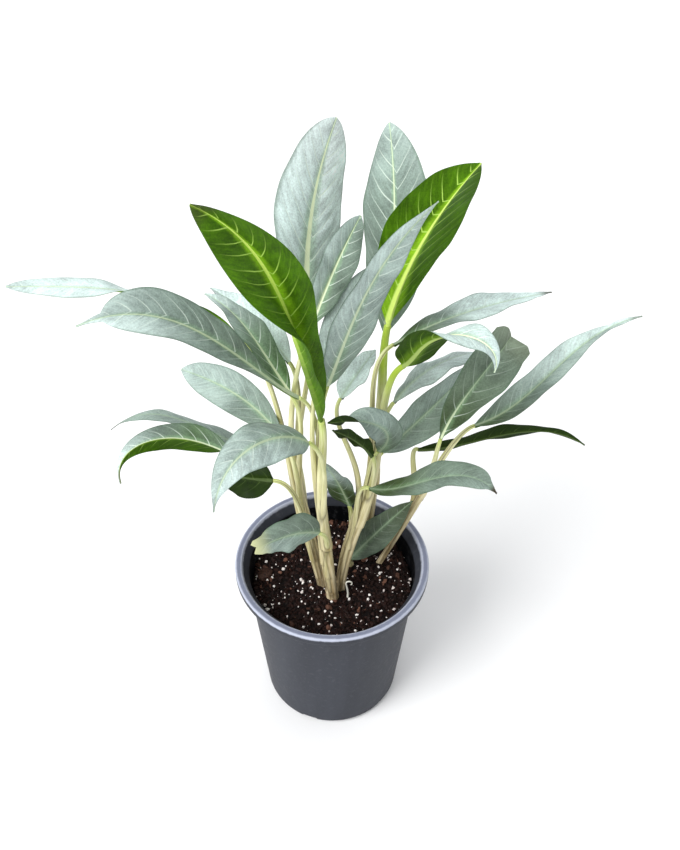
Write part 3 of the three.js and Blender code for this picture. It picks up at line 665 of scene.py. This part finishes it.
def make_pot(outside_skin, inside_skin):
    """The turned pot, with its drain slots cut out of the heel."""
    section, split = pot_section()
    points, faces = turned(section, POT.sides)
    skins = np.repeat(np.arange(len(section) - 1) >= split, POT.sides)
    pot = make_piece("nursery_pot", points, faces, [outside_skin, inside_skin], skins)
    cutters = make_drain_cutters()
    cut = pot.modifiers.new("drains", "BOOLEAN")
    cut.object = cutters
    cut.operation = "DIFFERENCE"
    cut.solver = "EXACT"
    result = finished_mesh(pot)
    pot.modifiers.remove(cut)
    pot.data = result
    result.name = "nursery_pot"
    smooth(result, 40)
    bpy.data.objects.remove(cutters)
    return pot


# ---- soil ----


def soil_radius(height):
    return wall_radius(height) - POT.wall - SOIL.inset


def soil_height(x, y):
    """The peat's rise and fall over its top, in millimetres."""
    swell = np.sin(x / 9.1 + 1.3) * np.cos(y / 7.7) + 0.6 * np.sin(x / 4.1 + y / 5.3)
    return SOIL.top + SOIL.rise * (0.45 + 0.25 * swell)


def make_soil(skin):
    """The peat fills the pot; returns the piece and a copy of its top, for scattering over."""
    low, heel = POT.floor + SOIL.floor_gap, POT.heel_radius
    around, rings = SOIL.around, SOIL.rings
    section = [(0, low), (soil_radius(heel) - heel / 2, low), (soil_radius(heel), heel + low)]
    section += [(soil_radius(z), z) for z in np.linspace(20, SOIL.top - 2, 12)]
    first_top = 1 + (len(section) - 1) * around
    edge = soil_radius(SOIL.top) - SOIL.round_edge
    section += [(edge * (1 - i / rings), 0) for i in range(rings)] + [(0, 0)]
    points, faces = turned(section, around)
    points[first_top:, 2] = soil_height(*points[first_top:, :2].T)
    keep = [tuple(v - first_top for v in face) for face in faces if min(face) >= first_top]
    soil = make_piece("potting_soil", points, faces, [skin])
    return soil, make_piece("soil_top", points[first_top:], keep, [skin])


def scatter(name, top, skin, **values):
    """Strews lumps over the soil's top by Geometry Nodes, from named sizes and a fixed seed, and
    keeps them as a plain mesh. Values that are whole numbers become whole-number inputs."""
    tree = bpy.data.node_groups.new(name, "GeometryNodeTree")
    for way in ("INPUT", "OUTPUT"):
        tree.interface.new_socket("Geometry", in_out=way, socket_type="NodeSocketGeometry")
    for label, value in values.items():
        kind = "NodeSocketInt" if isinstance(value, int) else "NodeSocketFloat"
        tree.interface.new_socket(label, in_out="INPUT", socket_type=kind).default_value = value
    given = add(tree, "NodeGroupInput").outputs
    seed = given["Seed"]
    points = add(tree, "GeometryNodeDistributePointsOnFaces", {
        "Mesh": given["Geometry"], "Density": given["Density"], "Seed": seed})
    ball = add(tree, "GeometryNodeMeshIcoSphere", {"Radius": 1.0, "Subdivisions": given["Facets"]})
    squash = add(tree, "ShaderNodeCombineXYZ", {"X": 1.0, "Y": 0.75, "Z": given["Flatness"]})
    squashed = vector_maths(tree, "MULTIPLY", add(tree, "GeometryNodeInputPosition"), squash)
    lump = add(tree, "GeometryNodeSetPosition", {"Geometry": ball, "Position": squashed})
    turn = add(tree, "FunctionNodeRandomValue", {
        "Min": (0.0, 0.0, 0.0), "Max": (math.tau, math.tau, math.tau), "Seed": seed},
        data_type="FLOAT_VECTOR")
    even, chance = (add(tree, "FunctionNodeRandomValue", {"Min": 0.0, "Max": 1.0, "Seed": source},
                        data_type="FLOAT") for source in (seed, 5))
    mostly_small = maths(tree, "POWER", even, 2.2)
    size = ramp(tree, mostly_small, 0.0, 1.0, given["Smallest"], given["Largest"])
    strewn = add(tree, "GeometryNodeInstanceOnPoints", {
        "Points": points, "Instance": lump, "Rotation": turn, "Scale": size})
    shade = add(tree, "GeometryNodeStoreNamedAttribute", {
        "Geometry": strewn, "Name": "shade", "Value": chance}, data_type="FLOAT", domain="INSTANCE")
    real = add(tree, "GeometryNodeRealizeInstances", {"Geometry": shade})
    grit = add(tree, "ShaderNodeTexNoise", {"Scale": 420.0, "Detail": 1.0}).outputs["Color"]
    push = vector_maths(tree, "MULTIPLY", vector_maths(tree, "SUBTRACT", grit, (0.5, 0.5, 0.5)),
                        given["Largest"])
    rough = add(tree, "GeometryNodeSetPosition", {"Geometry": real, "Offset": push})
    drop = add(tree, "ShaderNodeCombineXYZ", {"Z": given["Sunk"]})
    seated = add(tree, "GeometryNodeSetPosition", {"Geometry": rough, "Offset": drop})
    done = add(tree, "GeometryNodeSetMaterial", {"Geometry": seated, "Material": skin})
    add(tree, "NodeGroupOutput", {"Geometry": done})
    modifier = top.modifiers.new(name, "NODES")
    modifier.node_group = tree
    mesh = finished_mesh(top)
    top.modifiers.remove(modifier)
    return put(name, mesh)


def make_lump(skin):
    """One big piece of bark that lies on the peat by the pot's wall, under the yellowed leaf."""
    work = bmesh.new()
    bmesh.ops.create_icosphere(work, subdivisions=4, radius=1)
    points = []
    for vert in work.verts:
        rough = 1 + LUMP.rough * noise.noise(vert.co * 1.6) + LUMP.gritty * noise.noise(vert.co * 6)
        points.append([LUMP.centre[i] + vert.co[i] * LUMP.size[i] * rough for i in range(3)])
    faces = [[vert.index for vert in face.verts] for face in work.faces]
    work.free()
    return make_piece("bark_lump", points, faces, [skin])


# ---- materials ----


def colour(code):
    """An sRGB hex value such as '#a0b0c0' as linear red, green, blue and alpha."""
    parts = [int(code[i:i + 2], 16) / 255 for i in (1, 3, 5)]
    return [p / 12.92 if p <= 0.04045 else ((p + 0.055) / 1.055) ** 2.4 for p in parts] + [1.0]


def add(tree, kind, links=None, **settings):
    """Adds one node. links gives its inputs, by name or number, a value or what feeds them."""
    node = tree.nodes.new(kind)
    for key, value in settings.items():
        setattr(node, key, value)
    for key, value in (links or {}).items():
        if isinstance(key, int):
            socket = node.inputs[key]
        else:
            socket = next(s for s in node.inputs if s.enabled and s.name == key)
        if isinstance(value, bpy.types.Node):
            value = next(s for s in value.outputs if s.enabled)
        if isinstance(value, bpy.types.NodeSocket):
            tree.links.new(value, socket)
        else:
            socket.default_value = value
    return node


def maths(tree, operation, *values):
    """One sum of one to three values."""
    return add(tree, "ShaderNodeMath", dict(enumerate(values)), operation=operation)


def times(tree, first, second):
    return maths(tree, "MULTIPLY", first, second)


def vector_maths(tree, operation, *values):
    """The same as maths, on vectors."""
    return add(tree, "ShaderNodeVectorMath", dict(enumerate(values)), operation=operation)


def ramp(tree, value, low, high, first=0.0, last=1.0, kind="LINEAR"):
    """Turns a value between low and high into one between first and last, and holds it there."""
    return add(tree, "ShaderNodeMapRange", {
        "Value": value, "From Min": low, "From Max": high, "To Min": first, "To Max": last},
        interpolation_type=kind)


def grains(tree, at, scale, detail, roughness=0.5):
    """Noise with so many cells to a unit of at, which is a metre for a place on the object."""
    return add(tree, "ShaderNodeTexNoise", {
        "Vector": at, "Scale": scale, "Detail": detail, "Roughness": roughness})


def blend(tree, share, first, second):
    """Mixes two colours, each a hex value or what feeds it."""
    first = colour(first) if isinstance(first, str) else first
    second = colour(second) if isinstance(second, str) else second
    mixed = add(tree, "ShaderNodeMix", {"Factor": share, "A": first, "B": second},
                data_type="RGBA")
    return mixed.outputs[2]


def object_place(tree):
    return add(tree, "ShaderNodeTexCoord").outputs["Object"]


def parts_of(tree, vector):
    """The three numbers of a vector."""
    return add(tree, "ShaderNodeSeparateXYZ", {"Vector": vector}).outputs


def stored(tree, name):
    """What a mesh keeps for its points under a name."""
    return add(tree, "ShaderNodeAttribute", attribute_name=name).outputs["Vector"]


def new_material(name, roughness, gloss=0.5, ior=1.45):
    """A material with its Principled shader and its output."""
    material = bpy.data.materials.new(name)
    material.use_nodes = True
    tree = material.node_tree
    tree.nodes.clear()
    shader = add(tree, "ShaderNodeBsdfPrincipled", {
        "IOR": ior, "Roughness": roughness, "Specular IOR Level": gloss})
    add(tree, "ShaderNodeOutputMaterial", {"Surface": shader})
    return material, tree, shader


def paint(tree, shader, skin, height, strength, distance):
    """Gives a shader its colour and the bump that a height makes, distance metres deep."""
    bump = add(tree, "ShaderNodeBump", {
        "Strength": strength, "Distance": distance, "Height": height})
    tree.links.new(skin, shader.inputs["Base Color"])
    tree.links.new(bump.outputs[0], shader.inputs["Normal"])


def leaf_veins(tree):
    """What both faces of a blade share: masks for the midrib, side veins, margin and mottling."""
    across, phase, edge = parts_of(tree, stored(tree, "where"))
    silver, fresh, age = parts_of(tree, stored(tree, "tone"))
    along, bright, rib = parts_of(tree, stored(tree, "rank"))
    place_at = object_place(tree)
    wobble = grains(tree, place_at, 75.0, 2.0)
    phase = maths(tree, "MULTIPLY_ADD", wobble, 0.2, phase)
    line = ramp(tree, maths(tree, "PINGPONG", phase, 0.5), 0.012, 0.055, 1.0, 0.0, "SMOOTHSTEP")
    side_vein = times(tree, line, ramp(tree, edge, 0.3, 0.92, 1.0, 0.12))
    rib_width = times(tree, ramp(tree, along, 0.0, 0.95, 1.0, 0.12), rib)
    rib_share = maths(tree, "DIVIDE", maths(tree, "ABSOLUTE", across), rib_width)
    midrib = ramp(tree, rib_share, 0.6, 1.1, 1.0, 0.0, "SMOOTHSTEP")
    halo = ramp(tree, rib_share, 1.0, 4.5, 1.0, 0.0, "SMOOTHSTEP")
    stretched = add(tree, "ShaderNodeCombineXYZ", {
        "X": times(tree, phase, 2.6), "Y": times(tree, across, 0.12),
        "Z": times(tree, bright, 37.0)})
    feathers = grains(tree, stretched, 1.6, 4.0, 0.6)
    clouds = grains(tree, place_at, 55.0, 2.0)
    mottle = grains(tree, place_at, 900.0, 3.0, 0.6)
    return Sizes(edge=edge, silver=silver, fresh=fresh, age=age, bright=bright, halo=halo,
                 side_vein=side_vein, midrib=midrib, feathers=feathers, clouds=clouds,
                 mottle=mottle)


def speckled(tree, skin, veins, amount):
    """Varies a leaf's colour by its fine mottling, its clouds and the bands between veins."""
    both = maths(tree, "MULTIPLY_ADD", veins.mottle, 0.9, veins.clouds)
    both = maths(tree, "MULTIPLY_ADD", veins.feathers, 0.9, both)
    gain = ramp(tree, both, 1.05, 1.75, 1 - amount, 1 + amount)
    return vector_maths(tree, "MULTIPLY", skin, gain).outputs[0]


def silver_face():
    """Upper face of a grown leaf: living leaf with a wax bloom, which scatters light in silver
    between green margins and shines softly; fine mottling breaks the silver up."""
    material, tree, shader = new_material("leaf_wax_silver", 0.42, 0.22)
    veins = leaf_veins(tree)
    skin = blend(tree, veins.fresh, "#414c36", "#466b2c")
    # Silver above 1 turns near white, partly a painted highlight; below 0 it goes to a dark bare
    # green, partly painted shade.
    for low, high, bloom in ((0.0, 0.5, "#829389"), (0.5, 1.0, "#cfe1dd"), (1.0, 1.5, "#eef8f6"),
                             (0.0, -1.0, "#1d2a06")):
        skin = blend(tree, ramp(tree, veins.silver, low, high), skin, bloom)
    near_rib = ramp(tree, veins.bright, 0.0, 1.0, 0.15, 0.5)
    skin = blend(tree, times(tree, veins.halo, near_rib), skin, "#90b588")
    skin = speckled(tree, skin, veins, 0.36)
    shown = ramp(tree, veins.bright, 0.0, 1.0, 0.02, 0.9)
    skin = blend(tree, times(tree, veins.side_vein, shown), skin, "#e6f3e6")
    skin = blend(tree, ramp(tree, veins.edge, 0.9, 1.0, 0.0, 0.6), skin, "#4e6a52")
    rib_colour = blend(tree, veins.bright, "#93a68c", "#f4ffd6")
    shown = ramp(tree, veins.bright, 0.0, 1.0, 0.35, 1.0)
    skin = blend(tree, times(tree, veins.midrib, shown), skin, rib_colour)
    finish_leaf(tree, shader, veins, skin)
    return material


def green_face():
    """Underside of a leaf: bare green leaf without bloom, with the midrib and the side veins
    standing out yellow-green; the newest leaves are vivid, old ones dark, and the same ramp also
    holds painted light where light shines through a leaf and painted shade where it lies in shade."""
    material, tree, shader = new_material("leaf_underside_green", 0.4, 0.12)
    veins = leaf_veins(tree)
    shown = ramp(tree, veins.bright, 0.0, 1.0, 0.1, 1.0)
    # From dark to vivid: the leaf's own green, with painted light shining through it and painted
    # shade.
    deep = blend(tree, veins.fresh, "#0d1a02", "#335c00")
    light = blend(tree, veins.fresh, "#212d10", "#7cab1c")
    cover = maths(tree, "MULTIPLY_ADD", veins.feathers, 0.25,
                  times(tree, veins.halo, shown))
    skin = speckled(tree, blend(tree, cover, deep, light), veins, 0.35)
    vein_colour = blend(tree, veins.fresh, "#4c6234", "#aed45e")
    vein_share = times(tree, times(tree, veins.side_vein, shown),
                       ramp(tree, veins.edge, 0.25, 0.95, 0.95, 0.1))
    skin = blend(tree, vein_share, skin, vein_colour)
    rib_colour = blend(tree, veins.fresh, "#70865a", "#cfe773")
    skin = blend(tree, times(tree, veins.midrib, shown), skin, rib_colour)
    finish_leaf(tree, shader, veins, skin)
    return material


def finish_leaf(tree, shader, veins, skin):
    """Yellows or browns a leaf's old tip, and adds roughness that follows the mottling and a
    bump for veins and the cells between them."""
    skin = blend(tree, ramp(tree, veins.age, 0.0, 1.0), skin, "#cfd2a0")
    skin = blend(tree, ramp(tree, veins.age, 0.0, -1.0), skin, "#3d3428")
    rough = ramp(tree, veins.mottle, 0.3, 0.7, 0.42, 0.58)
    tree.links.new(rough.outputs[0], shader.inputs["Roughness"])
    low = maths(tree, "MULTIPLY_ADD", veins.side_vein, -0.5, veins.mottle)
    paint(tree, shader, skin, low, 0.35, 0.0004)


def stalk_skin():
    """Cane and leaf stalks: juicy fibrous stem, tan and papery near the soil, yellow-green
    above, with fine lengthwise fibres, a brown line in each stalk's groove that is partly painted
    shade in its hollow, and painted shade where stalks clasp each other. The root is the same
    stem, bleached."""
    material, tree, shader = new_material("stem_fibre_green", 0.45)
    where = stored(tree, "where")
    green, painted_crevice_shade, _ = parts_of(tree, stored(tree, "tone"))
    streak_place = add(tree, "ShaderNodeMapping", {"Vector": where, "Scale": (9.0, 0.035, 7.0)})
    streaks = grains(tree, streak_place, 1.0, 5.0, 0.6)
    fibres = ramp(tree, streaks, 0.3, 0.65)
    low = blend(tree, fibres, "#a48a58", "#ecdcb6")
    high = blend(tree, fibres, "#aeb268", "#e8e8b8")
    skin = blend(tree, ramp(tree, green, 0.05, 0.8), low, high)
    skin = blend(tree, ramp(tree, green, 0.85, 1.15), skin, "#a9c43f")
    # The brown line down each stalk's groove is partly painted shade in the hollow.
    beside = maths(tree, "PINGPONG", parts_of(tree, where)[0], 0.5)
    groove = ramp(tree, beside, 0.02, 0.11, 0.75, 0.0, "SMOOTHSTEP")
    skin = blend(tree, groove, skin, "#5c4a22")
    # Painted shade where stalks clasp each other.
    skin = blend(tree, times(tree, painted_crevice_shade, 0.75), skin, "#43341a")
    skin = blend(tree, ramp(tree, green, -0.5, -0.1, 1.0, 0.0), skin, "#e4e2d6")
    paint(tree, shader, skin, streaks, 0.4, 0.0005)
    return material


def pot_plastic(name, dark, light, gloss):
    """Moulded polypropylene: charcoal, satin, with the fine grain of the mould, faint upright
    flow marks and a paler lip, partly worn and dusty and partly a painted reflection of the bright
    room on its top. Painted highlights run pale along both of the lip's edges."""
    material, tree, shader = new_material(name, 0.48, gloss, 1.49)
    lip_height, lip_radius = (POT.height - 0.6) * MM, POT.lip_radius * MM
    place_at = object_place(tree)
    x, y, z = parts_of(tree, place_at)
    flow_place = add(tree, "ShaderNodeMapping", {"Vector": place_at, "Scale": (60.0, 60.0, 6.0)})
    skin = blend(tree, grains(tree, flow_place, 1.0, 3.0), dark, light)
    dust = grains(tree, place_at, 220.0, 6.0, 0.7)
    skin = blend(tree, ramp(tree, dust, 0.52, 0.8, 0.0, 0.25), skin, "#77787d")
    flat_place = add(tree, "ShaderNodeCombineXYZ", {"X": x, "Y": y})
    radius = vector_maths(tree, "LENGTH", flat_place).outputs[1]
    from_middle = maths(tree, "ABSOLUTE", maths(tree, "SUBTRACT", radius, lip_radius))
    # Painted highlights: the lip turns pale towards both of its edges.
    edge_highlight_distance = maths(tree, "MULTIPLY_ADD", dust, 0.0016, from_middle)
    # The lip's lavender grey is partly wear and dust and partly a painted reflection of the bright
    # room.
    lip_wear_and_reflection = blend(tree, ramp(tree, edge_highlight_distance, 0.0018, 0.0029), "#7b8093", "#b4b9c9")
    edge = maths(tree, "MULTIPLY_ADD", dust, 0.0022, z)
    lip = ramp(tree, edge, lip_height - 0.0012, lip_height + 0.0008, kind="SMOOTHSTEP")
    skin = blend(tree, lip, skin, lip_wear_and_reflection)
    rough = ramp(tree, dust, 0.3, 0.7, 0.4, 0.58)
    tree.links.new(rough.outputs[0], shader.inputs["Roughness"])
    paint(tree, shader, skin, grains(tree, place_at, 1800.0, 2.0), 0.18, 0.0002)
    return material


def crumb_skin(name, dark, light, roughness, grain_scale, bump_height):
    """A loose bit of potting mix: its two tones vary from bit to bit and over each bit."""
    material, tree, shader = new_material(name, roughness, 0.2)
    shade = add(tree, "ShaderNodeAttribute", attribute_name="shade").outputs["Fac"]
    grit = grains(tree, object_place(tree), grain_scale, 4.0, 0.7)
    share = ramp(tree, maths(tree, "MULTIPLY_ADD", shade, 0.6, grit), 0.35, 1.05)
    paint(tree, shader, blend(tree, share, dark, light), grit, 0.7, bump_height)
    return material


def floor_paint():
    """A plain matt white sweep with the faintest unevenness."""
    material, tree, shader = new_material("matt_white_paint", 0.9)
    cloud = grains(tree, object_place(tree), 3.0, 2.0)
    tree.links.new(blend(tree, cloud, "#f2f2f2", "#f6f6f6"), shader.inputs["Base Color"])
    return material


# ---- stage, light and camera ----


def make_camera():
    """The photograph's view: from in front of the plant and above it, looking down at it."""
    lens_pixels, image_height = 1000, 850
    degrees_down, degrees_aside = 42.64, -0.45
    data = bpy.data.cameras.new("camera")
    data.sensor_fit = "VERTICAL"
    data.sensor_height = 36
    data.lens = data.sensor_height * lens_pixels / image_height
    data.clip_start = 0.01
    camera = put("camera", data)
    tilt = Matrix.Rotation(math.radians(90 - degrees_down), 4, "X")
    pan = Matrix.Rotation(math.radians(degrees_aside), 4, "Y")
    camera.matrix_world = Matrix.Translation((0, -0.5059, 0.7564)) @ tilt @ pan
    bpy.context.scene.camera = camera


def make_light(name, towards, strength, softness):
    """A far soft box: towards is where it stands, softness how many degrees wide it looks."""
    data = bpy.data.lights.new(name, "SUN")
    data.energy = strength
    data.angle = math.radians(softness)
    put(name, data).rotation_euler = Vector(towards).to_track_quat("Z", "Y").to_euler()


def make_stage():
    """A bright even room, three soft lights and a white floor."""
    bpy.context.scene.view_settings.view_transform = "Standard"
    world = bpy.data.worlds.new("soft_room")
    world.use_nodes = True
    background = world.node_tree.nodes["Background"]
    background.inputs["Color"].default_value = colour("#f4f7fb")
    background.inputs["Strength"].default_value = 0.4
    bpy.context.scene.world = world
    make_light("key_left", (-1.0, -0.7, 1.2), 2.7, 35)
    make_light("top", (0.1, 0.3, 1.0), 1.0, 60)
    make_light("camera_side", (-0.2, -1.0, 0.7), 0.8, 60)
    reach, below = 9000, -0.2
    corners = [(x * reach, y * reach, below) for x, y in ((-1, -1), (1, -1), (1, 1), (-1, 1))]
    make_piece("floor", corners, [(0, 1, 2, 3)], [floor_paint()])


# ---- assembly ----

make_camera()
make_stage()

silver = silver_face()
green = green_face()
stalk = stalk_skin()
plastic = pot_plastic("polypropylene_charcoal", "#303238", "#40434b", 0.11)
# Painted shade: the inside is the same plastic, painted near black.
plastic_shaded_inside = pot_plastic("polypropylene_inside_painted_shade", "#050608", "#0c0d10", 0.1)
peat = crumb_skin("peat_damp", "#060302", "#160b08", 0.85, 700, 0.0012)
crumbs = crumb_skin("peat_crumbs", "#080403", "#26130e", 0.6, 900, 0.0006)
bark = crumb_skin("bark_chips", "#150a07", "#6b4a3c", 0.6, 1200, 0.0004)
perlite = crumb_skin("perlite_expanded", "#b9a9a4", "#fffaf5", 0.8, 1500, 0.0003)

place(make_pot(plastic, plastic_shaded_inside), "pot", "pot")

soil, soil_top = make_soil(peat)
place(soil, "soil", "soil")
strewn = (
    scatter("peat_crumb_layer", soil_top, crumbs, Density=330000.0, Seed=3, Smallest=0.0009,
            Largest=0.0026, Flatness=0.8, Facets=1, Sunk=-0.0002),
    scatter("bark_chip_layer", soil_top, bark, Density=9000.0, Seed=11, Smallest=0.0008,
            Largest=0.0036, Flatness=0.4, Facets=2, Sunk=0.0003),
    scatter("perlite_layer", soil_top, perlite, Density=26000.0, Seed=23, Smallest=0.0002,
            Largest=0.0017, Flatness=0.85, Facets=1, Sunk=0.0008),
)
bpy.data.objects.remove(soil_top)
for layer in strewn:
    place(layer, "soil")
place(make_lump(bark), "soil")

for name, shoot in SHOOTS.items():
    place(make_stems(name, shoot, stalk), "stalk", "shoot_" + name)
place(make_root(stalk), "stalk")

for name, leaf in LEAVES.items():
    blade = make_blade(leaf, silver, green)
    place(blade, "leaf_green" if name in GREEN_LEAVES else "leaf_silver", "leaf_" + name)
